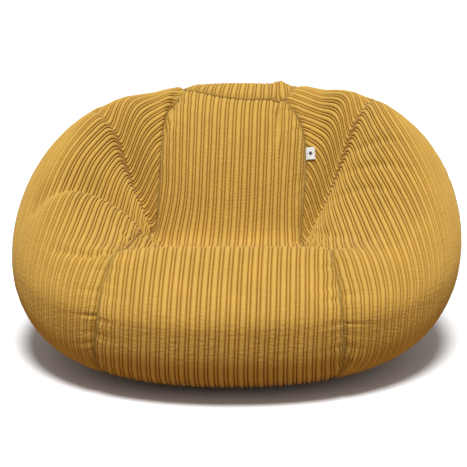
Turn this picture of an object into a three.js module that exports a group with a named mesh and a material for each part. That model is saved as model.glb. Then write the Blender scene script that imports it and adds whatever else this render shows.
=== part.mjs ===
// Bean bag chair: a large round floor seat in jumbo corduroy, about 0.9 m across.
//
// The cover is sewn from six gores that run from a six-sided cap, at the top of the backrest, over the body
// to a six-sided base, which a zip divides into a front and a rear half. Inside lies a two-piece liner with a
// hook-and-loop closure, and the bead fill. A sitter's seat is pressed into the front of the bag.
//
// Frame: millimetres, +Z up, the front faces -Y, the origin is on the floor under the middle of the bag.
import * as THREE from "three";

// ---- Driving dimensions ----
const HALF_WIDTH = 450;
const HALF_DEPTH = 440;
const WAIST_FRONT = 140; // height of the widest level at the front
const WAIST_REAR = 214; // the same at the sides and the rear
const CROWN_FRONT = 122; // rise of the body above that level at the front
const CROWN_REAR = 332; // the same at the rear
const SAG = 1.08; // depth of the body below the waist, over the waist's height: above 1 it lies flat on the floor
const PLAN_POWER = 2.12; // superellipse powers: 2 is an ellipse, more is fuller
const CROWN_POWER = 2.25;
const BELLY_POWER = 2.3;
const FRONT_BELLY_POWER = 3.4;
const LEAN = 0.055; // sideways lean for each unit of height
const CAP_TILT = THREE.MathUtils.degToRad(50); // the cap's middle leans this far to the rear
const TWIST = -0.07; // turn of all the gores about the cap, in radians

const SEAT_HEIGHT = 205;
const BACKREST_FRONT = -10; // where the backrest rises from the seat, along Y
const BACKREST_RISE = 353;
const BACKREST_REACH = 110; // the distance over which it leans back
const LEFT_ARM = { start: 142, rise: 350, reach: 165 }; // where it leaves the seat, its height, and over what distance
const RIGHT_ARM = { start: 134, rise: 290, reach: 90 };
const ARM_FRONT = -270; // the arms fall to nothing here, along Y
const ARM_LENGTH = 280;
const ARM_FALL = 1.35; // above 1 the arms fall faster near their rear ends
const LIP_RISE = 0.00148;
const FLARE = 0.5e-8;

const GORES = 6;
const GORE_COLUMNS = 7;
const CAP_ROWS = 3;
const GORE_ROWS = 18;
const BASE_ROWS = 3;
const CAP_APOTHEM = 0.38; // radians along the body, from the cap's middle to the middle of one side
const BASE_APOTHEM = 0.6;

const COVER_THICKNESS = 4;
const SEAM_TURN = 0.002; // half the gap at a seam between two gores, in radians
const SEAM_ROW = 0.004; // half the gap at a seam that runs round the bag, in rows
const LINER_DEPTH = 11; // from the outside of the cover to the outside of the liner
const LINER_THICKNESS = 2;
const FILL_DEPTH = 15.5;
const LINER_POLE = 0.2; // the liner's halves stop this far short of both poles, in rows

const ZIP_LENGTH = 310;
const ZIP_MIDDLE = { x: -9, y: -29 }; // under the middle of the base
const ZIP_SLOT = 26; // distance between the two halves of the base
const TAPE = { inner: 3, outer: 22, bottom: 4.4, thickness: 1 };
const COIL = { inner: 0.7, outer: 2.7, bottom: 2.4, height: 3, teeth: 36 };
const SLIDER = { length: 10, width: 9, webWidth: 0.7, plate: 1, bottom: 0.9, start: -145 };
const STOP = { length: 3, width: 6, height: 3, clearance: 0.5 };

const LABEL = { width: 19, length: 27, thickness: 1, lift: 3.2, row: 5.25, seamGap: 1.2 };
const CARE_LABEL = { width: 40, length: 55, thickness: 0.6, x: 70, y: 52, bottom: 4.6 };
const CLOSURE = { halfTurn: 0.05, rowFrom: 9, rowTo: 13, hookDepth: 7, loopDepth: 8.8, thickness: 1.4 };

const TOTAL_ROWS = CAP_ROWS + GORE_ROWS + BASE_ROWS;
const GORE_TURN = (2 * Math.PI) / GORES;
const TOTAL_COLUMNS = GORES * GORE_COLUMNS;

// ---- Materials ----
const cord = new THREE.MeshStandardMaterial({ color: 0xc9963f, roughness: 0.92, metalness: 0 });
const baseCloth = new THREE.MeshStandardMaterial({ color: 0xb5863a, roughness: 0.95, metalness: 0 });
const tapeCloth = new THREE.MeshStandardMaterial({ color: 0xb98a3c, roughness: 0.9, metalness: 0 });
const nylon = new THREE.MeshStandardMaterial({ color: 0xc49a4a, roughness: 0.5, metalness: 0 });
const zipMetal = new THREE.MeshStandardMaterial({ color: 0xb8b8b4, roughness: 0.35, metalness: 1 });
const labelCloth = new THREE.MeshStandardMaterial({ color: 0xd8d8d6, roughness: 0.7, metalness: 0 });
const linerCloth = new THREE.MeshStandardMaterial({ color: 0xe9e7e1, roughness: 0.85, metalness: 0 });
const closureTape = new THREE.MeshStandardMaterial({ color: 0xdedcd6, roughness: 0.8, metalness: 0 });
const beads = new THREE.MeshStandardMaterial({ color: 0xf4f4f2, roughness: 0.8, metalness: 0 });

// ---- Smooth blends ----
function ease(from, to, value) {
  const t = THREE.MathUtils.clamp((value - from) / (to - from), 0, 1);
  return t * t * (3 - 2 * t);
}

function softPositive(value, softness) {
  return softness * Math.log1p(Math.exp(THREE.MathUtils.clamp(value / softness, -40, 40)));
}

function softMin(a, b, softness) {
  const share = THREE.MathUtils.clamp(0.5 + (0.5 * (b - a)) / softness, 0, 1);
  return b * (1 - share) + a * share - softness * share * (1 - share);
}

function softMax(a, b, softness) {
  return -softMin(-a, -b, softness);
}

function bell(value, middle, width) {
  return Math.exp(-(((value - middle) / width) ** 2));
}

// ---- Folds: valleys that run from the rear corners of the seat, and a roll in front of the left one.
// Each point is [x, y, depth]. ----
const FOLD_WIDTH = 36;
const FOLDS = [
  [[150, -5, 14], [212, 58, 24], [270, 118, 0]],
  [[-152, -30, 12], [-190, 15, 24], [-232, 47, 24], [-300, 95, 0]],
  [[-175, -70, 14], [-213, -72, 22], [-260, -85, 24], [-308, -113, 18], [-380, -132, 0]],
];

function foldDepth(fold, x, y) {
  let nearest = Infinity;
  let depth = 0;
  for (let i = 1; i < fold.length; i++) {
    const [ax, ay, ad] = fold[i - 1];
    const [bx, by, bd] = fold[i];
    const along = ((x - ax) * (bx - ax) + (y - ay) * (by - ay)) / ((bx - ax) ** 2 + (by - ay) ** 2);
    const t = THREE.MathUtils.clamp(along, 0, 1);
    const distance = Math.hypot(x - ax - t * (bx - ax), y - ay - t * (by - ay));
    if (distance < nearest) {
      nearest = distance;
      depth = ad + (bd - ad) * t;
    }
  }
  return depth * bell(nearest, 0, FOLD_WIDTH);
}

// ---- The body's outer surface ----
// turn is the angle about the cap's middle, 0 at the front; slope runs from 0 at the cap's middle to pi at the base's.
function goreSpread(slope) {
  const shoulder = 0.1 * bell(slope, 0, 0.5) + 0.21 * bell(slope, 0.62, 0.24);
  return shoulder - 0.04 * bell(slope, 1.5, 0.35) + 0.14 * ease(1.7, 2.4, slope);
}

function bodyPoint(turn, slope) {
  // The cap's left front corner lies further to the left than its right one lies to the right.
  const cornerShift = 0.17 * bell(slope, 0.4, 0.2) * bell(Math.atan2(Math.sin(turn), Math.cos(turn)), -0.52, 0.45);
  const angle = turn + goreSpread(slope) * Math.sin(2 * turn) + TWIST - cornerShift;
  const tilt = (CAP_TILT * (1 + Math.cos(slope))) / 2;
  const forward = -Math.sin(slope) * Math.cos(angle);
  const dx = Math.sin(slope) * Math.sin(angle);
  const dy = forward * Math.cos(tilt) + Math.cos(slope) * Math.sin(tilt);
  const dz = Math.cos(slope) * Math.cos(tilt) - forward * Math.sin(tilt);

  const above = dz >= 0;
  const bellyPower = BELLY_POWER + (FRONT_BELLY_POWER - BELLY_POWER) * ease(0.2, 0.9, -dy);
  const power = above ? CROWN_POWER : bellyPower;
  const height = above ? CROWN_REAR : WAIST_REAR * SAG;
  const plan = (Math.abs(dx) / HALF_WIDTH) ** PLAN_POWER + (Math.abs(dy) / HALF_DEPTH) ** PLAN_POWER;
  const reach = (plan ** (power / PLAN_POWER) + (Math.abs(dz) / height) ** power) ** (-1 / power);
  const x = reach * dx;
  const y = reach * dy;
  const share = (reach * Math.abs(dz)) / height;

  const waist = WAIST_FRONT + (WAIST_REAR - WAIST_FRONT) * ease(-450, 60, y);
  const crown = CROWN_FRONT + (CROWN_REAR - CROWN_FRONT) * ease(-430, 110, y);
  let z = above ? waist + crown * share : waist - waist * SAG * share;

  const pressed = ease(waist - 40, waist + 30, z);
  const rounding = 26 + 50 * ease(120, 300, Math.abs(x));
  z += pressed * (softMin(z, seatHeight(x, y), rounding) - z);
  const creased = ease(waist - 80, waist, z);
  for (const fold of FOLDS) z -= creased * foldDepth(fold, x, y);
  z = Math.max(softMax(z, 0, 14) - 3.5, 0); // flat where it lies on the floor
  return new THREE.Vector3(x + LEAN * (z - WAIST_REAR), y, z);
}

function armRise(away, { start, rise, reach }) {
  return rise * (1 - Math.exp(-softPositive(away - start, 6) / reach));
}

// The height of the pressed seat: a level seat with a raised lip, a leaning backrest, and arms that fall to the front.
function seatHeight(x, y) {
  const behind = softPositive(y - BACKREST_FRONT + (x * x) / 3000, 10);
  const backrest = BACKREST_RISE * (1 - Math.exp(-behind / BACKREST_REACH));
  const lip = LIP_RISE * Math.max(-y - 100, 0) ** 2;
  const fall = softPositive((y - ARM_FRONT) / ARM_LENGTH, 0.04) ** ARM_FALL;
  const arms = (armRise(x, RIGHT_ARM) + armRise(-x, LEFT_ARM)) * fall + FLARE * x ** 4 + lip;
  const softness = 40 + 110 * ease(120, 240, Math.max(backrest, arms));
  return SEAT_HEIGHT + softMax(backrest + lip, arms - 6, softness) - 8;
}

// The turn measured from the middle of the gore that it falls in.
function turnInGore(turn) {
  return THREE.MathUtils.euclideanModulo(turn + GORE_TURN / 2, GORE_TURN) - GORE_TURN / 2;
}

// Rows run from the cap's middle (0) over its edge (CAP_ROWS) and the base's edge to the base's middle.
function slopeAt(turn, row) {
  const inGore = turnInGore(turn);
  const capEdge = CAP_APOTHEM / Math.cos(inGore);
  const baseEdge = Math.PI - BASE_APOTHEM / Math.cos(inGore);
  if (row <= CAP_ROWS) return (capEdge * row) / CAP_ROWS;
  const down = row - CAP_ROWS;
  if (down <= GORE_ROWS) return capEdge + ((baseEdge - capEdge) * down) / GORE_ROWS;
  return baseEdge + ((Math.PI - baseEdge) * (down - GORE_ROWS)) / BASE_ROWS;
}

function surfaceNormal(turn, slope) {
  const step = 0.09; // about one panel facet, so that layers under a fold stay apart
  const safe = THREE.MathUtils.clamp(slope, 0.12, Math.PI - 0.12);
  const facing = Math.sin(slope) < 0.001 ? 0 : turn; // both middles have one normal for every turn
  const across = bodyPoint(facing + step, safe).sub(bodyPoint(facing - step, safe));
  const down = bodyPoint(facing, safe + step).sub(bodyPoint(facing, safe - step));
  return down.cross(across).normalize();
}

// A point below the outer surface. Both sides of a seam go inwards along the seam's own normal, so its gap stays even.
function layerPoint(turn, row, depth) {
  const inGore = turnInGore(turn);
  const besideSeam = GORE_TURN / 2 - Math.abs(inGore) < 2 * SEAM_TURN;
  const facing = besideSeam ? turn + Math.sign(inGore) * (GORE_TURN / 2 - Math.abs(inGore)) : turn;
  const level = Math.abs(row - Math.round(row)) < 2 * SEAM_ROW ? Math.round(row) : row;
  const normal = surfaceNormal(facing, slopeAt(facing, level));
  return bodyPoint(turn, slopeAt(turn, row)).addScaledVector(normal, -depth);
}

// ---- Builders ----
function bend(geometry, place) {
  const position = geometry.attributes.position;
  for (let i = 0; i < position.count; i++) {
    const p = place(position.getX(i), position.getY(i), position.getZ(i));
    position.setXYZ(i, p.x, p.y, p.z);
  }
  geometry.computeVertexNormals();
  return geometry;
}

function piece(name, geometry, material) {
  const mesh = new THREE.Mesh(geometry, material);
  mesh.name = name;
  return mesh;
}

// Splits the outer face's squares along their other diagonal, as the inner face's are split already,
// so that the facets of both faces, and of every layer under them, run alongside each other.
function layeredBox(width, height, columns, rows) {
  const box = new THREE.BoxGeometry(width, height, 1, columns, rows, 1);
  const outer = box.groups[4];
  for (let i = outer.start; i < outer.start + outer.count; i += 6) {
    const [a, b, d, , c] = box.index.array.slice(i, i + 6);
    box.index.array.set([a, b, c, a, c, d], i);
  }
  return box;
}

// A panel of the body between two turns, two rows and two depths.
function panel({ turnFrom, turnTo, columns, rowFrom, rowTo, rows, depth, thickness }) {
  return bend(layeredBox(1, 1, columns, rows), (x, y, z) => {
    const turn = turnFrom + (turnTo - turnFrom) * (x + 0.5);
    const row = rowFrom + (rowTo - rowFrom) * (0.5 - y);
    return layerPoint(turn, row, depth + thickness * (0.5 - z));
  });
}

function gore(name, index) {
  const middle = index * GORE_TURN;
  const geometry = panel({
    turnFrom: middle - GORE_TURN / 2 + SEAM_TURN,
    turnTo: middle + GORE_TURN / 2 - SEAM_TURN,
    columns: GORE_COLUMNS,
    rowFrom: CAP_ROWS + SEAM_ROW,
    rowTo: CAP_ROWS + GORE_ROWS - SEAM_ROW,
    rows: GORE_ROWS,
    depth: 0,
    thickness: COVER_THICKNESS,
  });
  return piece(name, geometry, cord);
}

function topCap() {
  const edge = (CAP_ROWS - SEAM_ROW) / CAP_ROWS;
  const rings = Array.from({ length: CAP_ROWS + 1 }, (_, i) => (edge * i) / CAP_ROWS);
  const under = rings.map((r) => new THREE.Vector2(r, 0));
  const over = rings.map((r) => new THREE.Vector2(r, 1)).reverse();
  const disc = new THREE.LatheGeometry([...under, ...over], TOTAL_COLUMNS, GORE_TURN / 2);
  const geometry = bend(disc, (x, y, z) => {
    const row = CAP_ROWS * Math.hypot(x, z);
    return layerPoint(Math.atan2(x, z), row, COVER_THICKNESS * (1 - y));
  });
  return piece("top_cap", geometry, cord);
}

// Half of the flat base: the base's edge on one side of the zip, closed by the straight edge beside the zip.
function baseHalf(name, side) {
  const steps = TOTAL_COLUMNS * 2;
  const row = CAP_ROWS + GORE_ROWS + SEAM_ROW;
  const start = side < 0 ? -Math.PI : 0;
  const edge = [];
  for (let i = 0; i < steps; i++) {
    const p = layerPoint(start + (2 * Math.PI * i) / steps, row, 0);
    edge.push(new THREE.Vector2(p.x, (p.y - ZIP_MIDDLE.y) * side));
  }
  const limit = ZIP_SLOT / 2;
  const outline = [];
  edge.forEach((p, i) => {
    const next = edge[(i + 1) % steps];
    if (p.y >= limit) outline.push(p);
    if (p.y >= limit !== next.y >= limit) outline.push(p.clone().lerp(next, (limit - p.y) / (next.y - p.y)));
  });
  const shape = new THREE.Shape(outline.map((p) => new THREE.Vector2(p.x, ZIP_MIDDLE.y + p.y * side)));
  const geometry = new THREE.ExtrudeGeometry(shape, { depth: COVER_THICKNESS, bevelEnabled: false });
  return piece(name, geometry, baseCloth);
}

function block(name, size, centre, material) {
  const mesh = piece(name, new THREE.BoxGeometry(...size), material);
  mesh.position.set(...centre);
  return mesh;
}

function zipTape(name, side) {
  const width = TAPE.outer - TAPE.inner;
  const middle = side * (TAPE.inner + width / 2);
  const size = [ZIP_LENGTH + 20, width, TAPE.thickness];
  return block(name, size, [0, middle, TAPE.bottom + TAPE.thickness / 2], tapeCloth);
}

// A row of teeth: a strip whose outer edge steps in and out.
function zipCoil(name, side) {
  const pitch = ZIP_LENGTH / COIL.teeth;
  const step = (COIL.outer - COIL.inner) / 3;
  const shape = new THREE.Shape();
  shape.moveTo(-ZIP_LENGTH / 2, side * COIL.inner);
  for (let i = 0; i < COIL.teeth; i++) {
    const x = -ZIP_LENGTH / 2 + i * pitch;
    shape.lineTo(x, side * COIL.outer);
    shape.lineTo(x + pitch / 2, side * COIL.outer);
    shape.lineTo(x + pitch / 2, side * (COIL.outer - step));
    shape.lineTo(x + pitch, side * (COIL.outer - step));
  }
  shape.lineTo(ZIP_LENGTH / 2, side * COIL.inner);
  const mesh = piece(name, new THREE.ExtrudeGeometry(shape, { depth: COIL.height, bevelEnabled: false }), nylon);
  mesh.position.z = COIL.bottom;
  return mesh;
}

// Two plates, under and over the coils, joined by a thin web that runs between them.
function zipSlider() {
  const clearance = 0.4;
  const low = SLIDER.bottom;
  const lowTop = low + SLIDER.plate;
  const high = COIL.bottom + COIL.height + clearance;
  const top = high + SLIDER.plate;
  const half = SLIDER.width / 2;
  const web = SLIDER.webWidth / 2;
  const right = [[half, low], [half, lowTop], [web, lowTop], [web, high], [half, high], [half, top]];
  const left = right.map(([y, z]) => [-y, z]).reverse();
  const shape = new THREE.Shape([...right, ...left].map(([y, z]) => new THREE.Vector2(y, z)));
  const geometry = new THREE.ExtrudeGeometry(shape, { depth: SLIDER.length, bevelEnabled: false });
  geometry.applyMatrix4(new THREE.Matrix4().makeBasis(
    new THREE.Vector3(0, 1, 0), new THREE.Vector3(0, 0, 1), new THREE.Vector3(1, 0, 0)));
  const mesh = piece("zip_slider", geometry, zipMetal);
  mesh.position.x = SLIDER.start - SLIDER.length / 2;
  return mesh;
}

function zipStop(name, end) {
  const x = end * (ZIP_LENGTH / 2 + STOP.clearance + STOP.length / 2);
  return block(name, [STOP.length, STOP.width, STOP.height], [x, 0, 0.8 + STOP.height / 2], zipMetal);
}

// The flag label hangs from the seam on the right of the backrest and lies on the next gore.
function labelFlag() {
  const turn = GORE_TURN / 2;
  const slope = slopeAt(turn, LABEL.row);
  const seam = bodyPoint(turn, slope);
  const out = surfaceNormal(turn + 0.06, slope);
  const along = bodyPoint(turn, slope + 0.03).sub(bodyPoint(turn, slope - 0.03)).normalize();
  const across = along.clone().cross(out).negate().normalize();
  const down = out.clone().cross(across).negate();
  const mesh = piece("label_flag", new THREE.BoxGeometry(LABEL.width, LABEL.length, LABEL.thickness), labelCloth);
  mesh.setRotationFromMatrix(new THREE.Matrix4().makeBasis(across, down.clone().negate(), out));
  mesh.position.copy(seam)
    .addScaledVector(across, LABEL.seamGap + LABEL.width / 2)
    .addScaledVector(out, LABEL.lift);
  return mesh;
}

function careLabel() {
  const { width, length, thickness, x, y, bottom } = CARE_LABEL;
  return block("care_label", [width, length, thickness], [x, y, bottom + thickness / 2], labelCloth);
}

function linerHalf(name, middle) {
  const geometry = bend(layeredBox(1, TOTAL_ROWS, TOTAL_COLUMNS / 2, TOTAL_ROWS), (x, y, z) => {
    const row = THREE.MathUtils.clamp(TOTAL_ROWS / 2 - y, LINER_POLE, TOTAL_ROWS - LINER_POLE);
    const turn = middle + 2 * x * (Math.PI / 2 - SEAM_TURN);
    return layerPoint(turn, row, LINER_DEPTH + LINER_THICKNESS * (0.5 - z));
  });
  return piece(name, geometry, linerCloth);
}

function closureStrip(name, depth) {
  const geometry = panel({
    turnFrom: Math.PI / 2 - CLOSURE.halfTurn,
    turnTo: Math.PI / 2 + CLOSURE.halfTurn,
    columns: 2,
    rowFrom: CLOSURE.rowFrom,
    rowTo: CLOSURE.rowTo,
    rows: CLOSURE.rowTo - CLOSURE.rowFrom,
    depth,
    thickness: CLOSURE.thickness,
  });
  return piece(name, geometry, closureTape);
}

function beadFill() {
  const geometry = bend(new THREE.SphereGeometry(1, TOTAL_COLUMNS, TOTAL_ROWS), (x, y, z) => {
    const row = (TOTAL_ROWS * Math.acos(THREE.MathUtils.clamp(y, -1, 1))) / Math.PI;
    return layerPoint(Math.atan2(x, z), row, FILL_DEPTH);
  });
  return piece("bead_fill", geometry, beads);
}

// ---- Assembly ----
const cover = new THREE.Group();
const GORE_NAMES = [
  "front_gore", "right_front_gore", "right_rear_gore", "rear_gore", "left_rear_gore", "left_front_gore",
];
GORE_NAMES.forEach((name, index) => cover.add(gore(name, index)));
cover.add(topCap());
cover.add(baseHalf("base_front_half", -1));
cover.add(baseHalf("base_rear_half", 1));
cover.add(labelFlag());
cover.add(careLabel());

const zip = new THREE.Group();
zip.position.set(ZIP_MIDDLE.x, ZIP_MIDDLE.y, 0);
zip.add(zipTape("zip_tape_front", -1));
zip.add(zipTape("zip_tape_rear", 1));
zip.add(zipCoil("zip_coil_front", -1));
zip.add(zipCoil("zip_coil_rear", 1));
zip.add(zipSlider());
zip.add(zipStop("zip_stop_closed_end", -1));
zip.add(zipStop("zip_stop_open_end", 1));

const inside = new THREE.Group();
inside.add(linerHalf("liner_front_half", 0));
inside.add(linerHalf("liner_rear_half", Math.PI));
inside.add(closureStrip("liner_closure_hook", CLOSURE.hookDepth));
inside.add(closureStrip("liner_closure_loop", CLOSURE.loopDepth));
inside.add(beadFill());

const beanBag = new THREE.Group();
beanBag.add(cover, zip, inside);

export default beanBag;
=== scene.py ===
"""Bean bag chair in jumbo corduroy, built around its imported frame.

The cover is worked out once as a skin: the bag's outer surface, pressed into a seat, creased and wrinkled.
Each panel of the cover is then cut from that skin with its ribs at a constant pitch from the panel's middle,
and the liner and the fill are the same skin, further in. Sizes of the skin are in millimetres.
"""

import math

import bpy
import numpy as np
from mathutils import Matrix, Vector


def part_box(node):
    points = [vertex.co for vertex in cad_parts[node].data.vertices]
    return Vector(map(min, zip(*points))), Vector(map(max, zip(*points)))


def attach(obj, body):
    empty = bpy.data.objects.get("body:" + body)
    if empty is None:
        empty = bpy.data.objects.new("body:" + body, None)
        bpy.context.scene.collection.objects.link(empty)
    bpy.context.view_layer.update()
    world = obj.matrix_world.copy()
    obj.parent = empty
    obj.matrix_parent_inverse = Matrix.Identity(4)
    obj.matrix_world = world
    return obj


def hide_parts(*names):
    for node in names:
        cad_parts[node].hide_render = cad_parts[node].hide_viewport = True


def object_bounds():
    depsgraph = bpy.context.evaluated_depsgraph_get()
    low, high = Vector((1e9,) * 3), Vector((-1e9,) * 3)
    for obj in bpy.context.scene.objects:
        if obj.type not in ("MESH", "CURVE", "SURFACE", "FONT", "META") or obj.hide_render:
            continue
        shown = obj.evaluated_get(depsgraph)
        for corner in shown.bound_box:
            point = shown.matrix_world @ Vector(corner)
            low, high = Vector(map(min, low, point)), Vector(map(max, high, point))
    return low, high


bl_info = {
    "name": "Bean bag chair",
    "version": (1, 0, 0),
    "blender": (4, 5, 0),
    "location": "3D View > Sidebar > Bean bag",
    "description": "Builds a corduroy bean bag chair around its packed frame",
    "category": "Object",
}

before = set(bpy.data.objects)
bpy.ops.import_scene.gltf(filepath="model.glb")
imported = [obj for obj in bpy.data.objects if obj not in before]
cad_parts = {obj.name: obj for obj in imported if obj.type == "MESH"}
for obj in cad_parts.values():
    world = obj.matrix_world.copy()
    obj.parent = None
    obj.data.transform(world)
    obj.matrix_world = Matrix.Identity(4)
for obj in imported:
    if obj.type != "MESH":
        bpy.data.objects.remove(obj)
CAD_LOW, CAD_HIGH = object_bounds()

MM = 0.001
BAG = "bag"
GORE_NAMES = (
    "front_gore",
    "right_front_gore",
    "right_rear_gore",
    "rear_gore",
    "left_rear_gore",
    "left_front_gore",
)

# ---- The bag's outline, in millimetres, from the frame's box ----
WIDE = (CAD_HIGH.x - CAD_LOW.x) / MM
DEEP = (CAD_HIGH.y - CAD_LOW.y) / MM
TALL = (CAD_HIGH.z - CAD_LOW.z) / MM
HALF_WIDTH = WIDE / 2
HALF_DEPTH = DEEP / 2
WAIST_FRONT = 0.281 * TALL
WAIST_REAR = 0.429 * TALL
CROWN_FRONT = 0.244 * TALL
CROWN_REAR = 0.665 * TALL
SEAT_HEIGHT = 0.411 * TALL
BACKREST_RISE = 0.707 * TALL
BACKREST_REACH = 110.0
BACKREST_FRONT = -10.0
LIP_RISE = 0.00148
ARM_FALL = 1.35
SAG = 1.08
PLAN_POWER = 2.12
CROWN_POWER = 2.25
BELLY_POWER = 2.3
FRONT_BELLY_POWER = 3.4
LEAN = 0.055
CAP_TILT = math.radians(50)
TWIST = -0.07

# ---- The panels: rows run from the cap's middle over its edge and the base's edge to the base's middle ----
GORES = len(GORE_NAMES)
GORE_TURN = 2 * math.pi / GORES
CAP_ROWS = 3
GORE_ROWS = 18
BASE_ROWS = 3
CAP_APOTHEM = 0.38
BASE_APOTHEM = 0.6
SEAM_TURN = 0.0004
LINER_DEPTH = 11.0
LINER_THICKNESS = 2.0
FILL_DEPTH = 15.5

# ---- The arms: where each one leaves the seat, how far it rises, and over what distance ----
LEFT_ARM = (142.0, 350.0, 165.0)
RIGHT_ARM = (134.0, 290.0, 90.0)

# ---- Valleys and ridges of the seat, each point as (x, y, depth, width), seen from above ----
VALLEYS = (
    ((134, -20, 12, 12), (163, 9, 40, 13), (212, 58, 44, 13), (245, 95, 30, 13), (270, 118, 0, 13)),
    ((-146, -34, 12, 14), (-190, 15, 38, 16), (-232, 47, 46, 17), (-270, 72, 40, 17), (-296, 88, 18, 16), (-312, 98, 0, 16)),
    ((-132, -74, 8, 14), (-172, -74, 32, 16), (-213, -72, 44, 17), (-260, -84, 46, 17),
     (-308, -106, 40, 17), (-350, -122, 28, 16), (-395, -132, 14, 16), (-430, -136, 0, 16)),
    ((-160, -108, -8, 28), (-213, -114, -20, 32), (-260, -128, -24, 34), (-315, -152, -22, 34), (-375, -168, -6, 32),
     (-410, -172, 0, 32)),
)

# ---- Creases of the cloth: points as (turn in degrees, slope), then depth, width and fade at the ends ----
CREASES = (
    (((44, 0.30), (25, 0.43), (21.5, 0.50), (19.4, 0.58), (19.7, 0.68)), 10, 9),
    (((52, 0.27), (45, 0.29), (38, 0.33)), -9, 14),
    (((-36, 0.40), (-31, 0.52), (-28, 0.62), (-31, 0.72)), 9, 10),
    (((50, 0.90), (57, 1.00), (64, 1.10)), 5, 9),
    (((46, 0.92), (54, 1.06), (61, 1.20)), 5, 9),
    (((40, 0.94), (50, 1.10), (57, 1.26)), 4, 9),
    (((-22, 1.20), (-27, 1.37), (-36, 1.47), (-48, 1.52)), 9, 9),
    (((33, 0.95), (37, 1.15), (43, 1.32)), 4, 12),
)


# ---- Smooth blends ----
def ease(start, end, value):
    """0 before start, 1 after end, and a smooth step between them."""
    share = np.clip((value - start) / (end - start), 0, 1)
    return share * share * (3 - 2 * share)


def soft_positive(value, softness):
    return softness * np.log1p(np.exp(np.clip(value / softness, -40, 40)))


def soft_min(a, b, softness):
    share = np.clip(0.5 + 0.5 * (b - a) / softness, 0, 1)
    return b * (1 - share) + a * share - softness * share * (1 - share)


def bell(value, middle, width):
    return np.exp(-(((value - middle) / width) ** 2))


def ripple(length, seed, waves=(31.0, 47.0, 68.0, 23.0)):
    """A smooth uneven wave along a length in millimetres, about -1 to 1, the same for the same seed."""
    draw = np.random.default_rng(seed)
    total = 0
    for wave in waves:
        total = total + np.sin(2 * math.pi * length / (wave * draw.uniform(0.85, 1.15)) + draw.uniform(0, 6.28))
    return total / len(waves) * 1.6


# ---- The bag's outer surface ----
def valley_depth(valley, x, y):
    nearest = np.full(x.shape, 1e9)
    depth = np.zeros(x.shape)
    width = np.ones(x.shape)
    for (ax, ay, a_depth, a_width), (bx, by, b_depth, b_width) in zip(valley, valley[1:]):
        length = (bx - ax) ** 2 + (by - ay) ** 2
        along = np.clip(((x - ax) * (bx - ax) + (y - ay) * (by - ay)) / length, 0, 1)
        away = np.hypot(x - ax - along * (bx - ax), y - ay - along * (by - ay))
        closer = away < nearest
        nearest = np.where(closer, away, nearest)
        depth = np.where(closer, a_depth + (b_depth - a_depth) * along, depth)
        width = np.where(closer, a_width + (b_width - a_width) * along, width)
    return depth * np.exp(-0.5 * (nearest / width) ** 1.6)


def arm_rise(away, arm):
    """How far an arm stands above the seat, at a distance from the seat's middle line."""
    start, rise, reach = arm
    return rise * (1 - np.exp(-soft_positive(away - start, 6) / reach))


def seat_height(x, y):
    """The pressed seat: a level seat with a raised lip, a leaning backrest, and arms that fall to the front."""
    behind = soft_positive(y - BACKREST_FRONT + x * x / 3000, 10)
    backrest = BACKREST_RISE * (1 - np.exp(-behind / BACKREST_REACH))
    lip = LIP_RISE * np.clip(-y - 100, 0, None) ** 2
    arms = arm_rise(x, RIGHT_ARM) + arm_rise(-x, LEFT_ARM)
    arms = arms * soft_positive((y + 270) / 280, 0.04) ** ARM_FALL + 0.5e-8 * x**4 + lip - 6
    softness = 14 + 130 * ease(120, 240, np.maximum(backrest, arms))
    return SEAT_HEIGHT - soft_min(-backrest - lip, -arms, softness)


def body(turn, slope, creased=True):
    """Points of the bag. turn is the angle about the cap, 0 at the front; slope is 0 on the cap, pi on the base."""
    shoulder = 0.1 * bell(slope, 0, 0.5) + 0.21 * bell(slope, 0.62, 0.24)
    spread = shoulder - 0.04 * bell(slope, 1.5, 0.35) + 0.14 * ease(1.7, 2.4, slope)
    # The cap's left front corner lies further to the left than its right one lies to the right.
    around = np.arctan2(np.sin(turn), np.cos(turn))
    corner_shift = 0.17 * bell(slope, 0.4, 0.2) * bell(around, -0.52, 0.45)
    angle = turn + spread * np.sin(2 * turn) + TWIST - corner_shift
    tilt = CAP_TILT * (1 + np.cos(slope)) / 2
    forward = -np.sin(slope) * np.cos(angle)
    dx = np.sin(slope) * np.sin(angle)
    dy = forward * np.cos(tilt) + np.cos(slope) * np.sin(tilt)
    dz = np.cos(slope) * np.cos(tilt) - forward * np.sin(tilt)

    above = dz >= 0
    belly = BELLY_POWER + (FRONT_BELLY_POWER - BELLY_POWER) * ease(0.2, 0.9, -dy)
    power = np.where(above, CROWN_POWER, belly)
    height = np.where(above, CROWN_REAR, WAIST_REAR * SAG)
    plan = (np.abs(dx) / HALF_WIDTH) ** PLAN_POWER + (np.abs(dy) / HALF_DEPTH) ** PLAN_POWER
    reach = (plan ** (power / PLAN_POWER) + (np.abs(dz) / height) ** power) ** (-1 / power)
    x = reach * dx
    y = reach * dy
    share = reach * np.abs(dz) / height

    waist = WAIST_FRONT + (WAIST_REAR - WAIST_FRONT) * ease(-450, 60, y)
    crown = CROWN_FRONT + (CROWN_REAR - CROWN_FRONT) * ease(-430, 110, y)
    z = np.where(above, waist + crown * share, waist - waist * SAG * share)
    rounding = 26 + 50 * ease(120, 300, np.abs(x))
    z = z + ease(waist - 40, waist + 30, z) * (soft_min(z, seat_height(x, y), rounding) - z)
    if creased:
        depth = ease(waist - 80, waist, z)
        for valley in VALLEYS:
            z = z - depth * valley_depth(valley, x, y)
    z = np.maximum(-soft_min(-z, 0 * z, 14) - 3.5, 0)
    return np.stack([x + LEAN * (z - WAIST_REAR), y, z], -1)


def directions(place, u, v, step_u, step_v):
    """Unit normals, pointing out, of a surface given by place(u, v), where u runs to the right and v down."""
    across = place(u + step_u, v) - place(u - step_u, v)
    down = place(u, v + step_v) - place(u, v - step_v)
    normal = np.cross(down, across)
    return normal / np.maximum(np.linalg.norm(normal, axis=-1, keepdims=True), 1e-9)


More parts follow.
